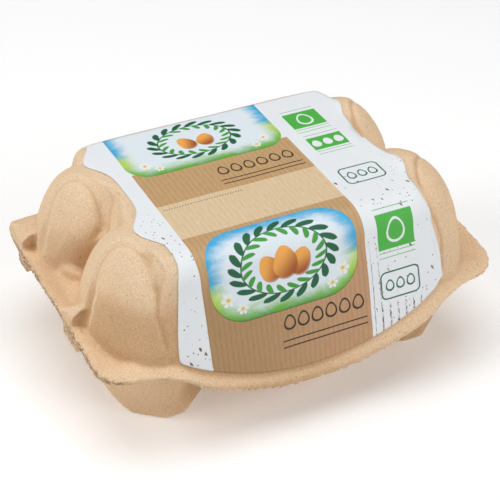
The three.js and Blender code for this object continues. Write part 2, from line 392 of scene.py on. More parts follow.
def block_point(angle, share):
    wall = clamp01((share - FOOT_SHARE) / WALL_SHARE)
    z = mix(BLOCK_START, LID_TOP, math.sin(wall * TURN / 4) if wall < 1 else 1)
    length = mix(BLOCK_FOOT, BLOCK_FOLD, clamp01((z - BLOCK_START) / (FOLD_START - BLOCK_START)))
    length -= (BLOCK_FOLD - BLOCK_TOP) * round_over(z)
    along, across = superellipse(angle, BLOCK_POWER)
    x = along * length
    y = across * (-front_face(x, z) if across < 0 else back_face(z))
    x -= along * WAIST_DEPTH * math.exp(-((y - WAIST_Y) / WAIST_HALF) ** 2)
    cap = min(share / FOOT_SHARE, (1 - share) / TOP_SHARE, 1)
    return on_brim(x * cap, y * cap, z)


# %% Forms of the domes
DOME_X, DOME_Y, DOME_HALF_LENGTH, DOME_HALF_WIDTH, DOME_FOOT = 53.4, 22.0, 18.9, 28.9, 29.2
PLAN_POWER, DOME_BACK_WALL = 1.85, 46.6
DOME_FLOOR, DOME_SKIN = 0.1, 0.9  # shares of its grid
VALLEY_SIDE, SIDE_FOOT, SIDE_TOP = (0.56, 0.95), 37, 60  # a back dome's shares of its width, from foot to top
# Height and power, by the side in X and in Y.
DOMES = {(-1, -1): (40.4, 1.9), (-1, 1): (39.4, 1.9), (1, -1): (41.2, 2.4), (1, 1): (41.8, 1.9)}


def dome_shell(side_x, side_y):
    height, power = DOMES[side_x, side_y]

    def place(angle, share):
        climb = clamp01((share - DOME_FLOOR) / DOME_SKIN) * TURN / 4
        out = max(0, math.cos(climb)) ** (2 / power) * min(1, share / DOME_FLOOR)
        along, across = superellipse(angle, PLAN_POWER)
        z = DOME_FOOT + height * math.sin(climb) ** (2 / power)
        by_valley = side_y > 0 and across < 0
        drawn_in = mix(*VALLEY_SIDE, ease((z - SIDE_FOOT) / (SIDE_TOP - SIDE_FOOT))) if by_valley else 1
        x = side_x * DOME_X + along * out * DOME_HALF_LENGTH
        y = min(side_y * DOME_Y + across * out * DOME_HALF_WIDTH * drawn_in, DOME_BACK_WALL)
        return on_brim(x, y, z)
    return tube(96, 60, place)


# %% Valley ramps, locking steps and the spur between the domes
VALLEY_START_X, VALLEY_TOP_X, VALLEY_FOOT_X, VALLEY_HALF_WIDTH, VALLEY_FOOT = 30.0, 46.0, 62.0, 17.0, 36.0
SPUR_X, SPUR_Y, SPUR_Z, SPUR_TURN, SPUR_RADII = 64.5, 8.5, 37.0, -0.55, (3.0, 6.0, 3.4)
STEP_START, STEP_BEND, STEP_TOP, STEP_END_TOP = 60, 70, 46.5, 41.5  # a step slopes down beyond the bend
EDGE_ROOM = 0.6
# Outlines in Y and Z.
BACK_STEP = [(28, 33), (28, 44.5), (36, 44), (43, 41.5), (47, 38.6), (47, 33)]
MID_STEP = [(-22, 33), (-22, 45.5), (-18, 44.5), (-9, 38), (-9, 33)]


def valley_height(x):
    climb = clamp01((VALLEY_FOOT_X - x) / (VALLEY_FOOT_X - VALLEY_TOP_X)) ** 1.25
    return mix(VALLEY_FOOT, LID_TOP - GAP, math.sin(climb * TURN / 4) ** 1.1)


def valley_ramp(side):
    def place(u, v):
        x, y = mix(VALLEY_START_X, VALLEY_FOOT_X, (u + 1) / 2), v * VALLEY_HALF_WIDTH
        return side * x, y, max(valley_height(x), brim_top(x, y) - PULP / 2)
    return slab(40, 24, place, lambda x, y: brim_top(x, y) - PULP / 2)


def locking_step(side, outline):
    step = bar(outline, STEP_START, END_REACH - EDGE_ROOM, 12)
    bmesh.ops.subdivide_edges(step, edges=step.edges[:], cuts=3, use_grid_fill=True)
    for vert in step.verts:
        x, y, z = vert.co
        z = min(z, mix(STEP_TOP, STEP_END_TOP, clamp01((x - STEP_BEND) / 7)))
        inside = min(1, (brim_reach(LID_OUTLINE, x, y) - EDGE_ROOM) / math.hypot(x, y))
        x, y = x * inside, y * inside
        vert.co = side * x, y, max(z, brim_top(x, y) - PULP / 2)
    if side < 0:
        bmesh.ops.reverse_faces(step, faces=step.faces)
    return step


def spur(side):
    """The small ridge that runs out of the valley, over the brim."""
    ridge = bmesh.new()
    bmesh.ops.create_uvsphere(ridge, u_segments=16, v_segments=10, radius=1)
    lay = Matrix.Translation((side * SPUR_X, SPUR_Y, SPUR_Z)) @ Matrix.Rotation(side * SPUR_TURN, 4, "Z")
    bmesh.ops.transform(ridge, matrix=lay @ Matrix.Diagonal((*SPUR_RADII, 1)), verts=ridge.verts)
    return ridge


# %% [markdown]
# The lid's forms are fused now. The smoothing is held back near the outer edge and on the locking steps,
# which stay crisp. Elsewhere it works most in the creases, where the points are furthest from even.

# %% Fuse the lid
LID_VOXEL = 0.8

lid_brim = brim_plate(LID_OUTLINE, brim_top, lambda x, y: brim_top(x, y) - PULP)
lid_forms = [lid_brim, tube(180, 90, block_point)]
lid_forms += [dome_shell(*where) for where in DOMES]
for side in (-1, 1):
    lid_forms += [valley_ramp(side), locking_step(side, BACK_STEP), locking_step(side, MID_STEP), spur(side)]
lid = fused("pulp_lid", lid_forms, LID_VOXEL)

lid_x, lid_y, lid_z = corners(lid).T
on_steps = ease((abs(lid_x) - 66) / 4) * ((lid_y > 24) | (abs(lid_y + 17) < 9)) * (lid_z > 35)
held = np.maximum(1 - ease((inside_edge(LID_OUTLINE, lid_x, lid_y) - 1.0) / 3), on_steps)
soften(lid, 1, np.zeros(len(held)))
soften(lid, 3, held)
print("lid smoothed,", int((held > 0.5).sum()), "points held")

# %% [markdown]
# ## Arches in the domes
#
# Each dome has a shallow arch pressed into it, like a horseshoe that faces the end and the front of the
# carton. A groove like that is where the dome's skin meets a tilted plane. In the front domes a second
# plane, upright beside the label, makes the inner leg straight. So no cutter is needed: every point of the
# dome near the planes moves inwards, most of all on the planes, and the panel inside sinks a little.

# %% Press the arches
ARCH_DEPTH, ARCH_HALF_WIDTH, PANEL_DEPTH, ARCH_BEND = 1.1, 0.85, 0.45, 1.3
ARCH_FOOT, VALLEY_LEG_FOOT, VALLEY_LEG_Y = 38.0, 50.0, 16.0  # a back dome's leg beside the valley ends higher
STRAIGHT_BELOW, LEG_REACH = 52.0, 68.5  # below this height and beyond this reach a leg is upright
DOME_START, LEG_FADE, PANEL_FADE = 46, 6, 2
# Of each plane: a place on it and where it faces, for a dome on the right.
FRONT_PLANES = (((59.1, -30.0, 58.9), (0.72, -0.49, 0.49)), ((52.0, -44.4, 55.0), (0.99, 0.0, 0.13)))
BACK_PLANES = (((60.0, 16.6, 59.7), (0.74, -0.42, 0.53)),)


def press_arches(piece):
    points, normals = corners(piece), outward(piece)
    sunk = np.zeros(len(points))
    x, y, z = points.T
    upright = np.c_[np.clip(x, -LEG_REACH, LEG_REACH), y, np.maximum(z, STRAIGHT_BELOW)]
    for side_x, side_y in DOMES:
        on_dome = (side_x * x > DOME_START) & (side_y * y > 0)
        apart = []
        for middle, facing in (BACK_PLANES if side_y > 0 else FRONT_PLANES):
            direction = np.array((side_x * facing[0], facing[1], facing[2]))
            direction /= np.linalg.norm(direction)
            apart.append((upright - (side_x * middle[0], middle[1], middle[2])) @ direction)
        beyond = -ARCH_BEND * np.logaddexp.reduce([-distance / ARCH_BEND for distance in apart])
        by_valley = ease((VALLEY_LEG_Y - y) / LEG_FADE) * (side_y > 0)
        above_foot = ease((z - mix(ARCH_FOOT, VALLEY_LEG_FOOT, by_valley)) / LEG_FADE)
        groove = ARCH_DEPTH * np.exp(-(beyond / ARCH_HALF_WIDTH) ** 2)
        sunk += on_dome * above_foot * (groove + PANEL_DEPTH * ease(beyond / PANEL_FADE))
    put_corners(piece, points - normals * sunk[:, None])
    return sunk


arch_relief = press_arches(lid)
print("arches: deepest", round(float(arch_relief.max()), 2), "mm")

# %% [markdown]
# ## Uneven pulp
#
# Pulp is sucked onto a wire mould and dries in an oven, so its skin waves by a few tenths of a millimetre
# and its trimmed edge is ragged. Smooth noise in two sizes moves the skin, and finer noise bites into the
# edge of the brim, always inwards.

# %% Roughen the skin and the edge
LONG_WAVE, LONG_SIZE, SHORT_WAVE, SHORT_SIZE = 0.16, 14.0, 0.07, 3.2
SKIN_INSET = 0.12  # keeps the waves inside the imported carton
BITE_DEPTH, BITE_SIZE, BITE_REACH, FRONT_BITE = 0.5, 1.7, 1.6, 0.2


def weather(piece, outline, seed):
    """Waves in the skin, and bites out of the edge, deepest at the ends."""
    points, normals = corners(piece), outward(piece)
    wave = LONG_WAVE * lumps(points, LONG_SIZE, seed) + SHORT_WAVE * lumps(points, SHORT_SIZE, seed + 1)
    points += normals * (wave - SKIN_INSET)[:, None]
    x, y = points[:, 0], points[:, 1]
    bite = BITE_DEPTH * clamp01(lumps(points * (1, 1, 2.2), BITE_SIZE, seed + 2) + 0.35)
    bite *= ease((BITE_REACH - inside_edge(outline, x, y)) / BITE_REACH)
    bite *= mix(FRONT_BITE, 1.0, ease((abs(x) - 60) / 9))
    points[:, :2] -= points[:, :2] / np.maximum(np.hypot(x, y), 1)[:, None] * bite[:, None]
    room_left = brim_reach(outline, x, y) - 0.05
    points[:, :2] *= np.minimum(1, room_left / np.maximum(np.hypot(x, y), 1))[:, None]
    points[:, 2] = np.maximum(points[:, 2], 0)
    put_corners(piece, points)
    print(piece.name, "waves and bites, deepest bite", round(float(bite.max()), 2), "mm")


weather(lid, LID_OUTLINE, 1)

# %% [markdown]
# ## The tray
#
# Six cups hold the eggs, and their feet stand on the table. A cup is nearly square at the seam and narrows
# to a foot with eight sides, which stands a little to the right. The section at any height is the room that
# eight flat sides leave between them, with corners rounded by a power: a high one gives the crisp corners of
# the foot. Where the next cup follows on the right, the flank beside it is hollow.

# %% Cups
EGG_PITCH, ROW_PITCH = 48.5, 49.0
CUP_HEIGHTS = (0, 4, 8, 13, 20, 30, 45)
WALL_X = (13.9, 16.6, 18.6, 20.4, 22.4, 24.4, 25.0)
WALL_Y = (13.9, 14.4, 14.9, 16.2, 18.2, 20.5, 22.5)
DIAGONAL = (13.1, 14.2, 14.6, 15.7, 17.8, 21.4, 28.5)
HOLLOW_FLANK = (0, 1.5, 2.9, 2.9, 1.0, 0, 0)  # of a flank that has the next cup on its right
FACET = math.radians(51)  # where the diagonal sides face, from the X axis
FOOT_SHIFT, SHIFT_HEIGHT = 2.9, 30.0
CUP_TOP, DIMPLE, CUP_INTO_BRIM = 38.0, 1.4, 0.6
CUP_FOOT, CUP_WALL, CUP_LID = 0.15, 0.75, 0.1  # shares of its grid
FOOT_CRISPNESS, SEAM_CRISPNESS = 44, 16


def cup_shell(middle_x, middle_y):
    def place(angle, share):
        wall = clamp01((share - CUP_FOOT) / CUP_WALL)
        z = CUP_TOP * wall ** 1.3
        risen = min(1, z / SHIFT_HEIGHT)
        wall_x, wall_y, diagonal, hollow = [
            float(np.interp(z, CUP_HEIGHTS, far)) for far in (WALL_X, WALL_Y, DIAGONAL, HOLLOW_FLANK)]
        hollow = hollow if middle_x < 1 else 0
        sides = [(0, wall_x - hollow), (TURN / 4, wall_y), (TURN / 2, wall_x), (-TURN / 4, wall_y)]
        sides += [(way * FACET, diagonal - hollow) for way in (-1, 1)]
        sides += [(TURN / 2 + way * FACET, diagonal) for way in (-1, 1)]
        power = mix(FOOT_CRISPNESS, SEAM_CRISPNESS, risen)
        room = sum(max(0, math.cos(angle - facing) / far) ** power for facing, far in sides)
        reach = room ** (-1 / power) * min(1, share / CUP_FOOT, (1 - share) / CUP_LID)
        dimple = DIMPLE * ease((0.62 - share / CUP_FOOT) / 0.2) if share < CUP_FOOT else 0
        x = middle_x + FOOT_SHIFT * (1 - risen) + reach * math.cos(angle)
        y = middle_y + reach * math.sin(angle)
        return x, y, min(z + dimple, brim_top(x, y) - 2 * PULP - GAP + CUP_INTO_BRIM)
    return tube(96, 50, place)


# %% Brim and lugs, and the tray as one piece
LUGS = ((27, 36), (-24, -10))
LUG_INNER, LUG_OUTER, LUG_FOOT, LUG_TOP = 72.0, 76.0, 28.4, 35.0
EAR_THICKER = 1.1
TRAY_VOXEL = 0.9


def tray_top(x, y):
    return brim_top(x, y) - PULP - GAP


def tray_brim_foot(x, y):
    """Underside of the tray's brim: the torn edge is thicker at the front ears."""
    return tray_top(x, y) - PULP - EAR_THICKER * ease((abs(x) - 68) / 6) * ease((-24 - y) / 10)


def lug(side, start, end):
    outline = [(start, LUG_FOOT), (end, LUG_FOOT), (end, LUG_TOP), (start, LUG_TOP)]
    block = bar(outline, *sorted((side * LUG_INNER, side * LUG_OUTER)), 3)
    for vert in block.verts:
        vert.co.z = min(vert.co.z, tray_top(vert.co.x, vert.co.y) - 0.5)
    return block


tray_forms = [brim_plate(TRAY_OUTLINE, tray_top, tray_brim_foot)]
tray_forms += [cup_shell(x, y) for x in (-EGG_PITCH, 0, EGG_PITCH) for y in (-ROW_PITCH / 2, ROW_PITCH / 2)]
tray_forms += [lug(side, *span) for side in (-1, 1) for span in LUGS]
tray = fused("pulp_tray", tray_forms, TRAY_VOXEL)

tray_x, tray_y, tray_z = corners(tray).T
tray_inside = inside_edge(TRAY_OUTLINE, tray_x, tray_y)
soften(tray, 2, 0.8 * ease((3 - tray_z) / 2))
low_or_edge = np.maximum(1 - ease((tray_inside - 1.5) / 3), ease((24 - tray_z) / 8))
soften(tray, 4, low_or_edge)
weather(tray, TRAY_OUTLINE, 5)

# %% [markdown]
# ## The label
#
# The label is one sheet of paper. It starts at the back edge of the lid's flat top, runs over the front
# fold and ends a hair above the lip. A sheet like this can be draped by a cloth simulation, but glued
# paper has no freedom: it goes where the lid is. So a flat grid is laid out as the sheet was cut, and each
# point is dropped onto the lid along a ray, then the sheet is smoothed, because paper bridges small dips.

# %% The way that the label takes over the lid
PAPER_LIFT, PAPER = 0.22, 0.22  # the glue line under the sheet, and the sheet's thickness
HEM_CORNER = 0.9
LABEL_BACK, TOP_END = 37.5, -36.0
TOP_REACHES = {-1: 45.2, 1: 48.0}  # between the domes, left and right
FRONT_REACHES = {-1: (45.1, 49.8), 1: (47.7, 52.8)}  # below the fold and at the hem, left and right
FOLD_HEIGHT = LID_TOP - FOLD_START
DOME_REACH, DOME_SPREAD, BACK_DOME_Y, FRONT_DOME_Y = 51.3, 8, 26, -20
HEM_HEIGHT, HEM_RISE, HEM_HALF_LENGTH = 22.3, 14.0, 48.75
RAY_START, RAY_LENGTH = 12, 20
MAP_SCALE = 100  # millimetres of sheet to one unit of its map


def label_reach(side, y):
    """How far the label goes to one side: it widens over the top of each dome."""
    base = TOP_REACHES[side]
    near_domes = sum(math.exp(-((y - dome_y) / DOME_SPREAD) ** 2) for dome_y in (BACK_DOME_Y, FRONT_DOME_Y))
    in_front = mix(*FRONT_REACHES[side], float(ease((-40 - y) / 14)))
    return mix(base + (DOME_REACH - base) * near_domes, in_front, float(ease((-26 - y) / 9)))


def label_hem(x):
    return HEM_HEIGHT + HEM_RISE * (x / HEM_HALF_LENGTH) ** 2


def way_down(x):
    """Points and outward directions along the label's middle line, from the back edge to the hem."""
    way = [((y, LID_TOP), (0, 1)) for y in np.linspace(LABEL_BACK, TOP_END, 92)]
    for turn in np.linspace(0, TURN / 4, 24)[1:]:
        spot = (TOP_END - FOLD_DEPTH * math.sin(turn), FOLD_START + FOLD_HEIGHT * math.cos(turn))
        way.append((spot, (-math.sin(turn), math.cos(turn))))
    lean = math.atan(FRONT_SLOPE)
    for z in np.linspace(FOLD_START, label_hem(x), 52)[1:]:
        way.append(((front_face(x, z), z), (-math.cos(lean), math.sin(lean))))
    return way


print("way over the lid:", len(way_down(0)), "steps")

# %% Lay the label
LABEL_COLUMNS = 132
lid_tree = BVHTree.FromObject(lid, bpy.context.evaluated_depsgraph_get())


def laid_label():
    """A flat grid laid on the lid, with a map that keeps its flat sizes."""
    steps = len(way_down(0))
    sheet = bmesh.new()
    bmesh.ops.create_grid(sheet, x_segments=LABEL_COLUMNS, y_segments=steps - 1, size=0.5)
    print_map = sheet.loops.layers.uv.new("print")
    printed = {}
    ways = {}
    for vert in sheet.verts:
        column, row = vert.co.x * 2, round((0.5 - vert.co.y) * (steps - 1))
        side = -1 if column < 0 else 1
        guess = column * DOME_REACH
        for _ in range(3):
            key = round(guess, 3)
            ways[key] = ways.get(key) or way_down(guess)
            (y, z), (out_y, out_z) = ways[key][row]
            near_hem = max(0, HEM_CORNER - math.dist((y, z), ways[key][-1][0]))
            rounding = HEM_CORNER - math.sqrt(HEM_CORNER ** 2 - near_hem ** 2)
            guess = abs(column) * side * (label_reach(side, y) - rounding)
        run = sum(math.dist(a[0], b[0]) for a, b in zip(ways[key][:row], ways[key][1:row + 1]))
        out = Vector((0, out_y, out_z))
        spot = Vector((guess, y, z))
        hit = lid_tree.ray_cast(spot + out * RAY_START, -out, RAY_LENGTH)[0]
        vert.co = (hit or spot) + out * PAPER_LIFT
        printed[vert] = (guess, run)
    for face in sheet.faces:
        for loop in face.loops:
            across, run = printed[loop.vert]
            loop[print_map].uv = (across / MAP_SCALE, run / MAP_SCALE)
    return sheet


def smooth_sheet(sheet_mesh, rounds):
    """Irons the sheet, and lifts each point again that has sunk towards the lid."""
    inner = [vert for vert in sheet_mesh.verts if not vert.is_boundary]
    for _ in range(rounds):
        bmesh.ops.smooth_vert(sheet_mesh, verts=inner, factor=0.5, use_axis_x=True, use_axis_y=True,
                              use_axis_z=True)
        for vert in sheet_mesh.verts:
            near, normal, _, _ = lid_tree.find_nearest(vert.co)
            room = (vert.co - near).dot(normal)
            if room < PAPER_LIFT:
                vert.co += normal * (PAPER_LIFT - room)


label_sheet = laid_label()
smooth_sheet(label_sheet, 5)
label_data = bpy.data.meshes.new("paper_label")
label_sheet.to_mesh(label_data)
label_sheet.free()
label = add_object("paper_label", label_data)
print("label:", len(label_data.polygons), "faces")


# %% [markdown]
# ## What the finish has to know
#
# Three things about pulp's colour depend on its shape. The trimmed edge is torn and brown, and along the
# front lip the same brown, faintly, is painted shade of the seam between lid and tray. The skin gets painted
# shade, darker in creases, and a painted highlight, paler on ridges. And low steep walls get painted shade,
# browner than the high flat tops, which get painted light. A shader can't measure that well on its own, so
# all three are worked out here, once, and kept on the mesh as attributes.

# %% Write the torn edge and seam shade, the relief, and the painted shade and light of walls and tops
# In front the torn brown is a faint painted shade of the seam between lid and tray.
TORN_REACH, TORN_FADE, FRONT_SEAM_SHADE, LEFT_TORN, RIGHT_TORN = 2.0, 1.4, 0.14, 1.0, 0.5
RELIEF_ROUNDS, FULL_RELIEF = 6, 0.3
# Painted shade on low steep walls, strongest on faces towards the front and the left, and painted light on
# high tops.
WALLS_END, TOPS_START, FRONT_SHADE, LEFT_SHADE = 64, 46, 0.45, 0.8


def keep_values(piece, name, values):
    layer = piece.data.attributes.new(name, "FLOAT", "POINT")
    layer.data.foreach_set("value", values.astype(np.float32))


def mark_torn_edge_and_seam_shade(piece, outline, seed):
    """How torn each point is: most on the outer edge at the ends; hardly at all in front, where it is a faint
    painted shade of the seam.
    """
    points = corners(piece)
    x, y, z = points.T
    near_edge = ease((TORN_REACH - inside_edge(outline, x, y)) / TORN_FADE)
    under = ease((brim_top(x, y) + 0.1 - z) / 0.7)
    at_ends = mix(FRONT_SEAM_SHADE, np.where(x < 0, LEFT_TORN, RIGHT_TORN), ease((abs(x) - 66) / 6))
    torn_and_seam_shares = near_edge * under * at_ends * clamp01(0.85 + 0.9 * lumps(points, 2.6, seed))
    keep_values(piece, "torn_edge_and_seam_shade", torn_and_seam_shares)
    print(piece.name, "ragged points:", int((torn_and_seam_shares > 0.5).sum()))


def mark_relief(piece):
    """How proud each point stands of the same piece smoothed, from -1 in a crease to 1 on a ridge."""
    before, normals = corners(piece), outward(piece)
    soften(piece, RELIEF_ROUNDS, np.zeros(len(before)))
    proud = ((before - corners(piece)) * normals).sum(axis=1)
    put_corners(piece, before)
    keep_values(piece, "relief", np.clip(proud / FULL_RELIEF, -1, 1))
    print(piece.name, "relief, mm:", [round(float(share), 2) for share in np.percentile(proud, (1, 50, 99))])


def mark_painted_shade_and_light(piece, shade_left, shade_right):
    """1 on low steep walls, which are given painted shade, and -1 on high flat tops, which are given painted
    light.
    """
    facing_x, facing_y, facing_up = outward(piece).T
    x, y, height = corners(piece).T
    steep = ease((0.95 - facing_up) / 0.5) * ease((0.25 - facing_y) / 0.6)
    steep *= mix(1.0, 0.45, ease((y + 2) / 14))
    tops = ease((height - TOPS_START) / 14) * ease((facing_up - 0.2) / 0.6)
    to_right = ease((x + 10) / 50)
    facing_front, facing_left = ease((-facing_y - 0.8) / 0.15), ease((-facing_x - 0.8) / 0.15)
    facing_shade = np.maximum(FRONT_SHADE * facing_front, LEFT_SHADE * facing_left)
    shade_strength = np.maximum(mix(shade_left, shade_right, to_right), facing_shade * (height < 30))
    low = ease((WALLS_END - height) / 16)
    keep_values(piece, "painted_shade_and_light", steep * low * shade_strength - tops * mix(1.0, 0.25, to_right))


# %% Into the frame
def settle(piece, node):
    """Brings a piece into the frame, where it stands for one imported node."""
    piece.data.transform(TO_FRAME)
    for face in piece.data.polygons:
        face.use_smooth = True
    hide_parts(node)
    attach(piece, "root")


# The last pair is how strong the painted shade of the walls is, on the left and on the right.
for piece, outline, seed, shade_strength in ((lid, LID_OUTLINE, 8, (1.0, 0.1)), (tray, TRAY_OUTLINE, 9, (0.35, 1.0))):
    mark_torn_edge_and_seam_shade(piece, outline, seed)
    mark_relief(piece)
    mark_painted_shade_and_light(piece, *shade_strength)
settle(lid, "lid")
settle(tray, "tray")
settle(label, "label")
thickness = label.modifiers.new("paper thickness", "SOLIDIFY")
thickness.thickness = PAPER * MM
thickness.offset = 1

# %% [markdown]
# ## Finishes from nodes
#
# Every colour here is worked out by shader nodes from where a point is, so nothing has to be painted and the
# grain keeps its size in close views. A few helpers keep that readable: each one places a node, fills its
# inputs, with a value or with another node's output, and gives back what comes out of it. The outputs that
# a helper is given also tell it which tree to work in.

# %% Helpers for nodes
def fill(socket, value):
    """Gives an input another node's output, or a number, direction or colour of its own."""
    if isinstance(value, bpy.types.NodeSocket):
        socket.id_data.links.new(value, socket)
    else:
        socket.default_value = (*value, 1) if socket.type == "RGBA" else value


def add_node(kind, inputs, **settings):
    """A node in the tree that its inputs come from."""
    tree = next(value.id_data for value in inputs.values() if isinstance(value, bpy.types.NodeSocket))
    made = tree.nodes.new(kind)
    for key, value in settings.items():
        setattr(made, key, value)
    for key, value in inputs.items():
        fill(made.inputs[key], value)
    return made


def calc(operation, *values):
    """Arithmetic on numbers."""
    return add_node("ShaderNodeMath", dict(enumerate(values)), operation=operation).outputs[0]


def times(product, *factors):
    for factor in factors:
        product = calc("MULTIPLY", product, factor)
    return product


def plus(first, second):
    return calc("ADD", first, second)


def minus(first, second):
    return calc("SUBTRACT", first, second)


def less(mask):
    """What a mask leaves free."""
    return calc("SUBTRACT", 1.0, mask)


def scaled(value, factor, offset):
    return calc("MULTIPLY_ADD", value, factor, offset)


def calc3(operation, *values):
    """Arithmetic on places and directions."""
    made = add_node("ShaderNodeVectorMath", dict(enumerate(values)), operation=operation)
    return made.outputs["Value" if operation == "LENGTH" else "Vector"]


def axes(place):
    """The first two coordinates of a place."""
    return add_node("ShaderNodeSeparateXYZ", {0: place}).outputs[:2]


def place_at(first, second):
    return add_node("ShaderNodeCombineXYZ", {0: first, 1: second, 2: 0.0}).outputs[0]


def rotated(place, angle):
    inputs = {"Vector": place, "Angle": angle}
    return add_node("ShaderNodeVectorRotate", inputs, rotation_type="Z_AXIS").outputs[0]


def rise(value, low, high):
    """0 where a value is below low, 1 where it is above high, and smooth between them."""
    inputs = {"Value": value, "From Min": low, "From Max": high}
    return add_node("ShaderNodeMapRange", inputs, interpolation_type="SMOOTHSTEP").outputs[0]


def tint(share, under, over, how="MIX"):
    """One colour laid over another."""
    inputs = {0: share, 6: under, 7: over}
    return add_node("ShaderNodeMix", inputs, data_type="RGBA", blend_type=how).outputs[2]


def cloud(place, scale, detail=2.0, rough=0.5, twist=0.0):
    """Noise around one half, with a scale in features a millimetre."""
    inputs = {"Vector": place, "Scale": scale, "Detail": detail, "Roughness": rough, "Distortion": twist}
    return add_node("ShaderNodeTexNoise", inputs).outputs[0]


# %% Helpers for groups and materials
def new_group(name, outputs, **inputs):
    """An empty node group with named inputs and outputs, and both ends to work between."""
    tree = bpy.data.node_groups.new(name, "ShaderNodeTree")
    for key, value in inputs.items():
        kind = "NodeSocketVector" if isinstance(value, tuple) else "NodeSocketFloat"
        socket = tree.interface.new_socket(key.replace("_", " "), in_out="INPUT", socket_type=kind)
        socket.default_value = value
    for key in outputs:
        tree.interface.new_socket(key, in_out="OUTPUT", socket_type="NodeSocketFloat")
    return tree, tree.nodes.new("NodeGroupInput").outputs, tree.nodes.new("NodeGroupOutput").inputs


def use_group(group, **inputs):
    named = {key.replace("_", " "): value for key, value in inputs.items()}
    return add_node("ShaderNodeGroup", named, node_tree=group).outputs


def new_look(name):
    """A material and its nodes."""
    look = bpy.data.materials.new(name)
    look.use_nodes = True
    return look, look.node_tree.nodes


def finish(look, base, roughness, height, strength, distance, gloss):
    """Fills a material's shader; distance is what a height of one comes to, in metres."""
    shader = look.node_tree.nodes["Principled BSDF"]
    bump = add_node("ShaderNodeBump", {"Strength": strength, "Distance": distance, "Height": height})
    fill(shader.inputs["Base Color"], base)
    fill(shader.inputs["Roughness"], roughness)
    fill(shader.inputs["Normal"], bump.outputs[0])
    shader.inputs["Specular IOR Level"].default_value = gloss
    print(look.name, "has", len(look.node_tree.nodes), "nodes")


# %% [markdown]
# ## Two effects for both materials
#
# Pulp and paper are both made of fibres, and both carry specks: bits of old print in the pulp, printed
# flecks on the label. Each of these effects is a node group, built once, and each material gives it sizes
# of its own. Specks come from Voronoi cells, of which only a share is filled.

# %% Fibre grain
grain_group, given, result = new_group(
    "fibre grain", ["Grain"], Place=(0, 0, 0), Scale=2.0, Detail=3.0, Roughness=0.6)
fill(result["Grain"], cloud(given["Place"], given["Scale"], given["Detail"], given["Roughness"]))

# %% Specks
speck_group, given, result = new_group(
    "specks", ["Mask"], Place=(0, 0, 0), Scale=0.4, Radius=0.1, Share=0.3)
cells = add_node("ShaderNodeTexVoronoi", {"Vector": given["Place"], "Scale": given["Scale"]})
core = times(given["Radius"], 0.6)
filled = less(rise(cells.outputs["Distance"], core, given["Radius"]))
pick = add_node("ShaderNodeSeparateColor", {0: cells.outputs["Color"]}).outputs[0]
fill(result["Mask"], times(filled, calc("LESS_THAN", pick, given["Share"])))


def specks(place, scale, radius, share):
    return use_group(speck_group, Place=place, Scale=scale, Radius=radius, Share=share)["Mask"]


print("groups:", [group.name for group in (grain_group, speck_group)])

# %% [markdown]
# ## Moulded pulp
#
# Pulp is boiled waste paper. Close up it is a felt of short fibres: warm and cool tans side by side, a few
# dark specks of old print, and hair-fine dark threads. From a step away it is simply matt tan. So noise of
# three sizes carries the tan, and the threads are the thin lines along which a noise passes through one
# half. Low steep walls and creases get painted shade, and high tops and ridges get painted light. At the
# ragged edge the felt is torn open and looks brown, and the same brown is a faint painted shade along the
# seam in front.

# %% Pulp material
PULP_WARM, PULP_COOL = (0.785, 0.559, 0.350), (0.765, 0.555, 0.364)
# A painted highlight for ridges and a painted shade for creases.
PAINTED_RIDGE_HIGHLIGHT, PAINTED_CREASE_SHADE = (0.86, 0.68, 0.49), (0.52, 0.29, 0.13)
# The torn brown also serves as a faint painted shade of the seam in front.
BROWN, PULP_TORN_AND_SEAM_SHADE = (0.16, 0.09, 0.05), (0.21, 0.105, 0.045)
# Painted shade for low steep walls, and painted light for high flat tops.
PAINTED_SHADE_TINT, PAINTED_LIGHT_TINT = (0.80, 0.71, 0.61), (1.0, 1.03, 1.07)
TO_MM = (1000, 1000, 1000)

pulp_look, pulp_nodes = new_look("moulded pulp")
pulp_place = calc3("MULTIPLY", pulp_nodes.new("ShaderNodeTexCoord").outputs["Object"], TO_MM)

felt = use_group(grain_group, Place=pulp_place, Scale=1.9, Detail=4.0, Roughness=0.75)["Grain"]
tan = tint(rise(cloud(pulp_place, 1.1, 3, 0.7), 0.38, 0.62), PULP_COOL, PULP_WARM)
lightness = plus(scaled(cloud(pulp_place, 0.10, 3), 0.16, 0.37), times(felt, 1.1))
tan = tint(1.0, tan, lightness, "MULTIPLY")


def kept(name):
    """One of the values that were kept on the mesh."""
    value = pulp_nodes.new("ShaderNodeAttribute")
    value.attribute_name = name
    return value.outputs["Fac"]


# Painted shade on low steep walls and painted light on high tops, from the values kept on the mesh.
painted_shade_and_light, raised = kept("painted_shade_and_light"), kept("relief")
for masked, its_tint in ((painted_shade_and_light, PAINTED_SHADE_TINT), (times(painted_shade_and_light, -1.0), PAINTED_LIGHT_TINT)):
    tan = tint(rise(masked, 0.0, 1.0), tan, tint(1.0, tan, its_tint, "MULTIPLY"))
# Painted shade in creases and a painted highlight on ridges.
tan = tint(times(rise(times(raised, -1.0), 0.1, 1.0), 0.45), tan, PAINTED_CREASE_SHADE)
tan = tint(times(rise(raised, 0.15, 1.0), 0.5), tan, PAINTED_RIDGE_HIGHLIGHT)

threads = calc("ABSOLUTE", minus(cloud(pulp_place, 0.55, 2, 0.5, 1.4), 0.5))
threads = times(less(rise(threads, 0.002, 0.012)), rise(cloud(pulp_place, 0.31), 0.52, 0.66))
tan = tint(times(threads, 0.22), tan, BROWN)
dots = calc("MAXIMUM", specks(pulp_place, 0.42, 0.12, 0.36), specks(pulp_place, 0.11, 0.05, 0.5))
tan = tint(times(dots, 0.6), tan, BROWN)

streaks = cloud(calc3("MULTIPLY", pulp_place, (1, 1, 3)), 0.9, 3, 0.6)
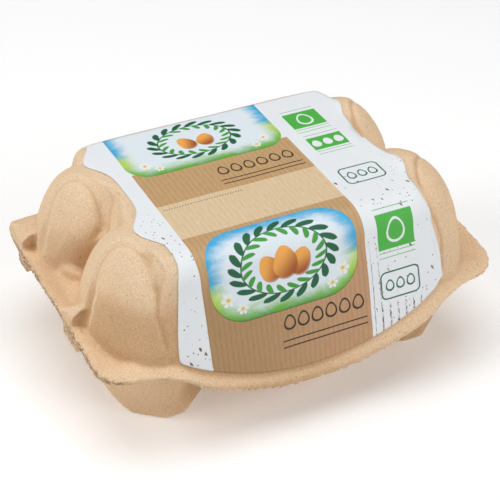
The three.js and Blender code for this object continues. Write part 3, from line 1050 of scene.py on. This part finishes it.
# Torn brown at the ragged edge, and in front a faint painted shade of the seam.
tan = tint(times(kept("torn_edge_and_seam_shade"), rise(streaks, 0.36, 0.6)), tan, PULP_TORN_AND_SEAM_SHADE)
finish(pulp_look, tan, scaled(felt, 0.2, 0.8), minus(felt, times(threads, 0.25)), 0.5, 0.00025, 0.2)

# %% [markdown]
# ## The label's print
#
# The print is fields of flat colour and simple shapes on white paper: a kraft field with fine stripes, a
# paler band across it for a date, badges with leaves and eggs, green fields, and brown specks on the white
# borders. A picture file could carry all of that. Nodes can too, and stay sharp: the label's own map says
# how many millimetres a point lies across the carton and down the sheet, and each shape is a small formula
# of these two numbers. Two node groups hold the formulas that return most: a rounded field and an egg.

# %% Rounded field
SOFT = 0.11  # half width of a printed edge's blur


def draw_edges(goes_out, beyond_edge, line):
    """What both groups give out, from how far a place lies beyond the shape's edge."""
    fill(goes_out["Field"], less(rise(beyond_edge, -SOFT, SOFT)))
    from_line = minus(calc("ABSOLUTE", beyond_edge), times(line, 0.5))
    fill(goes_out["Outline"], less(rise(from_line, -SOFT, SOFT)))


field_group, given, result = new_group(
    "rounded field", ["Field", "Outline", "Inside"], Place=(0, 0, 0), Middle=(0, 0, 0),
    Half_size=(10, 10, 0), Corner=1.0, Line=0.5)
straight = calc3("SUBTRACT", given["Half size"], given["Corner"])
past = calc3("ABSOLUTE", calc3("SUBTRACT", given["Place"], given["Middle"]))
past = calc3("MULTIPLY", calc3("SUBTRACT", past, straight), (1, 1, 0))
outside = calc3("LENGTH", calc3("MAXIMUM", past, (0, 0, 0)))
within = calc("MINIMUM", calc("MAXIMUM", *axes(past)), 0.0)
field_edge = minus(plus(outside, within), given["Corner"])
draw_edges(result, field_edge, given["Line"])
fill(result["Inside"], times(field_edge, -1.0))

# %% Egg
egg_group, given, result = new_group(
    "printed egg", ["Field", "Outline", "Shade"], Place=(0, 0, 0), Middle=(0, 0, 0), Half_width=2.0,
    Half_height=2.6, Turn=0.0, Line=0.4)
egg_x, egg_y = axes(rotated(calc3("SUBTRACT", given["Place"], given["Middle"]), given["Turn"]))
lengthwise = calc("DIVIDE", egg_y, given["Half height"])
taper = scaled(lengthwise, 0.2, 1.0)
crosswise = calc("DIVIDE", calc("DIVIDE", egg_x, given["Half width"]), taper)
from_middle = calc("SQRT", plus(calc("POWER", lengthwise, 2.0), calc("POWER", crosswise, 2.0)))
draw_edges(result, times(minus(from_middle, 1.0), given["Half width"]), given["Line"])
slant = plus(times(crosswise, 0.55), times(lengthwise, 0.7))
fill(result["Shade"], rise(slant, -0.5, 1.0))

# %% Label material: paper and place
PAPER_WHITE, PAPER_COOL = (0.82, 0.845, 0.87), (0.80, 0.83, 0.86)
KRAFT, BEIGE, INK = (0.535, 0.337, 0.162), (0.72, 0.545, 0.345), (0.035, 0.022, 0.014)
# Kraft with painted shade, for the front below the fold, darker on the left.
KRAFT_SHADED_FRONT_LEFT, KRAFT_SHADED_FRONT_RIGHT = (0.415, 0.25, 0.115), (0.515, 0.297, 0.157)
LEAF_GREEN, MID_GREEN, DARK_GREEN = (0.075, 0.45, 0.06), (0.06, 0.33, 0.05), (0.012, 0.12, 0.05)

label_look, paper_nodes = new_look("printed paper")
sheet_map = paper_nodes.new("ShaderNodeUVMap")
sheet_map.uv_map = "print"
on_sheet = calc3("MULTIPLY", sheet_map.outputs[0], (MAP_SCALE, MAP_SCALE, 0))
sheet_x, sheet_y = axes(on_sheet)
wobble = cloud(on_sheet, 0.35, 3)


def field(middle, half, corner=0.4, line=0.5):
    return use_group(
        field_group, Place=on_sheet, Middle=(*middle, 0), Half_size=(*half, 0), Corner=corner, Line=line)


def egg(place, middle, half_width, half_height, turn=0.0, line=0.2):
    return use_group(
        egg_group, Place=place, Middle=(*middle, 0), Half_width=half_width, Half_height=half_height,
        Turn=turn, Line=line)


design = tint(rise(cloud(on_sheet, 0.05), 0.3, 0.7), PAPER_WHITE, PAPER_COOL)

# %% Kraft field and the pale band
KRAFT_LEFT, KRAFT_RIGHT, KRAFT_BACK, SHEET_END = -39.2, 22.0, 26.0, 135.0
BAND_START, BAND_END = 47.8, 68.6
STRIPE = 1.91


def span(start, end):
    """Middle and half length of a stretch."""
    return (start + end) / 2, (end - start) / 2


kraft_x, kraft_half_x = span(KRAFT_LEFT, KRAFT_RIGHT)
kraft_y, kraft_half_y = span(KRAFT_BACK, SHEET_END)
band_y, band_half_y = span(BAND_START, BAND_END)
in_kraft = field((kraft_x, kraft_y), (kraft_half_x, kraft_half_y), 0.3)["Field"]
in_band = field((kraft_x, band_y), (kraft_half_x + 1, band_half_y))["Field"]
# Below the fold the kraft gets painted shade, darkest at the left.
shaded_front_kraft = tint(rise(sheet_x, -34.0, 18.0), KRAFT_SHADED_FRONT_LEFT, KRAFT_SHADED_FRONT_RIGHT)
kraft = tint(in_band, tint(rise(sheet_y, 82.0, 96.0), KRAFT, shaded_front_kraft), BEIGE)
stripe = calc("SINE", times(scaled(wobble, 0.25, times(sheet_x, 1 / STRIPE)), TURN))
weave = cloud(calc3("MULTIPLY", on_sheet, (1.6, 0.25, 1)), 1.0, 3, 0.6)
shade = plus(scaled(weave, 0.36, 0.82), times(stripe, scaled(in_band, -0.03, 0.055)))
design = tint(in_kraft, design, tint(1.0, kraft, shade, "MULTIPLY"))


# %% [markdown]
# The two pictures are badges with a garland of leaves round a few eggs. A garland could be set leaf by leaf.
# Instead the place is bent round a ring: the direction from the middle is wrapped into equal sectors, so one
# leaf formula draws them all. The ground is a wash of watercolour, blue and green at the rim and pale inside,
# and noise moves the wash's edge as wet paper does.

# %% A place bent round a ring
def round_ring(middle, flatten, radius, count, shift=0.0):
    """Place measured outwards from a ring and along it, the same in each of count sectors."""
    arm = calc3("MULTIPLY", calc3("SUBTRACT", on_sheet, (*middle, 0)), (1, flatten, 1))
    arm_x, arm_y = axes(arm)
    bearing = plus(calc("ARCTAN2", arm_y, arm_x), shift)
    sector = calc("WRAP", bearing, math.pi / count, -math.pi / count)
    outwards = minus(calc3("LENGTH", arm), radius)
    return place_at(outwards, times(sector, radius)), outwards


def ring_leaves(under, ring, lean, size, ink):
    leaf = egg(ring, (math.copysign(size * 0.62, lean), 0), size * 0.36, size, lean)
    return tint(leaf["Field"], under, ink)


# %% Eggs, garland and flowers
EGG_LIGHT, EGG_DARK = (0.88, 0.40, 0.085), (0.34, 0.075, 0.015)
YOLK, PETAL_WHITE = (0.85, 0.50, 0.04), (0.82, 0.84, 0.82)


def print_egg(under, middle, size, turn):
    shadow = egg(on_sheet, (middle[0] + 0.3, middle[1] + 0.5), size * 1.04, size * 1.32, turn)
    under = tint(times(shadow["Field"], 0.7), under, EGG_DARK)
    shell = egg(on_sheet, middle, size, size * 1.3, turn)
    return tint(shell["Field"], under, tint(shell["Shade"], EGG_LIGHT, EGG_DARK))


def garland(under, middle, flatten, radius, count):
    """Leaves leaning out of and into a ring, in two greens, on a thin stem."""
    outer, outwards = round_ring(middle, flatten, radius, count)
    inner, _ = round_ring(middle, flatten, radius, count, math.pi / count)
    under = tint(less(rise(calc("ABSOLUTE", outwards), 0.15, 0.4)), under, DARK_GREEN)
    under = ring_leaves(under, inner, -0.75, radius * 0.19, MID_GREEN)
    return ring_leaves(under, outer, 0.75, radius * 0.22, DARK_GREEN)


def flower(under, middle, size, petals=6):
    ring, outwards = round_ring(middle, 1.0, size, petals)
    under = tint(egg(ring, (0, 0), size * 0.62, size * 0.44)["Field"], under, PETAL_WHITE)
    return tint(less(rise(outwards, -size * 0.62, -size * 0.5)), under, YOLK)


# %% Wash of colour for a badge
BLUE, PALE, LIME, GRASS, DEEP = (
    (0.05, 0.40, 0.72), (0.74, 0.82, 0.87), (0.46, 0.64, 0.09), (0.17, 0.46, 0.04), (0.025, 0.24, 0.035))


def wash(under, shape, top, foot, width):
    """Colour that is strong at the rim of a badge and pale inside, blue above and green below."""
    brush = cloud(calc3("MULTIPLY", on_sheet, (0.6, 1.3, 1)), 0.22, 5, 0.65, 0.6)
    fine = cloud(on_sheet, 1.3, 4, 0.75)
    drop = scaled(brush, 9.0, minus(sheet_y, 4.5))
    rim = BLUE
    for start, end, green in ((0.48, 0.66, LIME), (0.68, 0.9, GRASS), (0.88, 1.08, DEEP)):
        rim = tint(rise(drop, mix(top, foot, start), mix(top, foot, end)), rim, green)
    rim = tint(times(rise(fine, 0.42, 0.68), 0.35), rim, LIME, "SOFT_LIGHT")
    inwards = scaled(fine, 1.5, scaled(brush, 8.0, minus(shape["Inside"], 4.0)))
    return tint(shape["Field"], under, tint(rise(inwards, 0.6, width), rim, PALE))


# %% The two pictures
def picture(under, ring, eggs, flowers):
    """A garland, with eggs in it and flowers beside it."""
    under = garland(under, *ring)
    for middle, size, turn in eggs:
        under = print_egg(under, middle, size, turn)
    for middle, size in flowers:
        under = flower(under, middle, size)
    return under


front_badge = field((-8.8, 87.6), (27.6, 17.0), 13.0, 0.35)
design = wash(design, front_badge, 70.6, 104.6, 8.0)
design = tint(times(front_badge["Outline"], rise(sheet_y, 80.0, 104.0), 0.55), design, INK)
design = picture(
    design, ((-8.8, 87.0), 1.42, 16.0, 20),
    (((-14.4, 88.4), 3.7, 0.5), ((-3.0, 88.6), 3.7, -0.5), ((-8.7, 87.6), 4.3, 0.0)),
    (((-30.4, 95.6), 1.6), ((-25.6, 99.8), 1.3), ((12.6, 95.8), 1.6), ((8.2, 99.9), 1.3)))

top_badge = field((-9.2, 8.0), (30.6, 21.6), 9.0)
design = wash(design, top_badge, -8.0, 29.6, 7.5)
design = picture(
    design, ((-9.2, 13.2), 1.5, 14.0, 18),
    (((-13.0, 14.2), 3.0, 0.45), ((-5.6, 14.2), 3.0, -0.45)),
    (((-32.6, 22.4), 1.4), ((-28.2, 25.6), 1.1), ((14.0, 22.6), 1.4), ((9.8, 25.8), 1.1)))


# %% Rows of eggs and ruled lines, in place of words
def egg_row(under, middle, count, pitch, size, ink, line=0.0):
    """A row of alike eggs: one egg, drawn once in every cell of a repeated place."""
    start = middle[0] - count * pitch / 2
    cell = minus(calc("WRAP", minus(sheet_x, start), pitch, 0.0), pitch / 2)
    one = egg(place_at(cell, sheet_y), (0, middle[1]), size, size * 1.28, line=line)
    row = field(middle, (count * pitch / 2, size * 1.6))
    return tint(times(one["Outline" if line else "Field"], row["Field"]), under, ink)


def rule_line(under, start, end, at, thick, ink):
    middle_x, half_x = span(start, end)
    return tint(field((middle_x, at), (half_x, thick / 2), 0.1)["Field"], under, ink)


design = egg_row(design, (4.0, 36.4), 6, 5.1, 1.75, INK, 0.55)
design = egg_row(design, (4.0, 109.6), 6, 5.3, 1.95, INK, 0.6)
for rule_start, rule_y in ((-12.0, 42.2), (-12.0, 44.4), (-12.4, 116.2), (-12.4, 118.6)):
    design = rule_line(design, rule_start, 8 - rule_start, rule_y, 0.5, INK)
design = egg_row(design, (-23.0, 50.4), 30, 1.0, 0.2, INK)

# %% Specks and brushed streaks on the white borders
LEFT_BORDER = (-41.0, -38.0)  # where the left border ends
on_border = less(in_kraft)
slanted = calc3("ADD", rotated(on_sheet, 0.45), place_at(wobble, 0))
slanted = calc3("ADD", calc3("MULTIPLY", slanted, (1, 0.45, 0)), (0, 0, 4.3))
at_left = less(rise(sheet_x, *LEFT_BORDER))
loose = specks(slanted, 0.36, 0.17, scaled(at_left, 0.2, 0.48))
small = specks(calc3("ADD", on_sheet, (0, 0, 9.1)), 0.7, 0.22, scaled(at_left, 0.2, 0.30))
patchy = calc("MAXIMUM", rise(cloud(on_sheet, 0.06, 2), 0.30, 0.46), at_left)
low_down = rise(sheet_y, 44.0, 62.0)
design = tint(times(calc("MAXIMUM", loose, small), on_border, patchy, low_down), design, BROWN)

COLUMN = 3.15
drift = scaled(cloud(on_sheet, 0.5, 2), 0.22, calc("DIVIDE", sheet_x, COLUMN))
off_line = calc("ABSOLUTE", minus(calc("FRACT", drift), 0.5))
in_column = less(rise(off_line, 0.07, 0.14))
brushed = cloud(calc3("MULTIPLY", on_sheet, (2.2, 0.9, 1)), 0.75, 4, 0.7)
stronger = times(rise(sheet_x, 27.5, 24.5), 0.07)
broken = rise(plus(brushed, stronger), 0.47, 0.53)
edge_column = times(less(rise(sheet_x, 26.0, 26.6)), rise(sheet_y, 88.0, 100.0))
lower = times(less(rise(sheet_x, 42.0, 44.0)), rise(sheet_y, 112.5, 116.0))
beside_kraft = rise(sheet_x, 23.2, 23.6)
streak = times(in_column, broken, on_border, beside_kraft, calc("MAXIMUM", edge_column, lower))
design = tint(streak, design, BROWN)

# %% Green fields and stamps
def green_field(under, middle, half, count):
    """A green field with the outline of one egg or with a few small eggs, and three thin rules beside it."""
    share, line = (0.5, 0.7) if count == 1 else (0.42, 0.0)
    size = half[1] * share
    under = tint(field(middle, half, 0.2)["Field"], under, LEAF_GREEN)
    under = egg_row(under, middle, count, size * 2.6, size, PAPER_WHITE, line)
    for at in (middle[1] + half[1] + 1.1, middle[1] + half[1] + 2.9, middle[1] - half[1] - 1.9):
        under = rule_line(under, middle[0] - half[0], middle[0] + half[0], at, 0.27, LEAF_GREEN)
    return under


def stamp(under, middle):
    under = tint(field(middle, (7.6, 4.9), 2.0, 0.55)["Outline"], under, DARK_GREEN)
    return egg_row(under, middle, 3, 4.2, 1.45, DARK_GREEN, 0.5)


design = green_field(design, (33.8, 17.6), (6.8, 5.4), 1)
design = green_field(design, (34.2, 34.8), (7.0, 4.1), 3)
design = green_field(design, (34.2, 87.5), (7.2, 6.5), 1)
design = stamp(design, (34.9, 58.6))
design = stamp(design, (34.3, 107.2))

# %% Close the label material
fibres = use_group(grain_group, Place=on_sheet, Scale=2.2, Detail=3.0, Roughness=0.6)["Grain"]
finish(label_look, design, scaled(fibres, 0.12, 0.48), fibres, 0.15, 0.0001, 0.35)

# %% Put the finishes on
for piece, look in ((lid, pulp_look), (tray, pulp_look), (label, label_look)):
    piece.data.materials.clear()
    piece.data.materials.append(look)
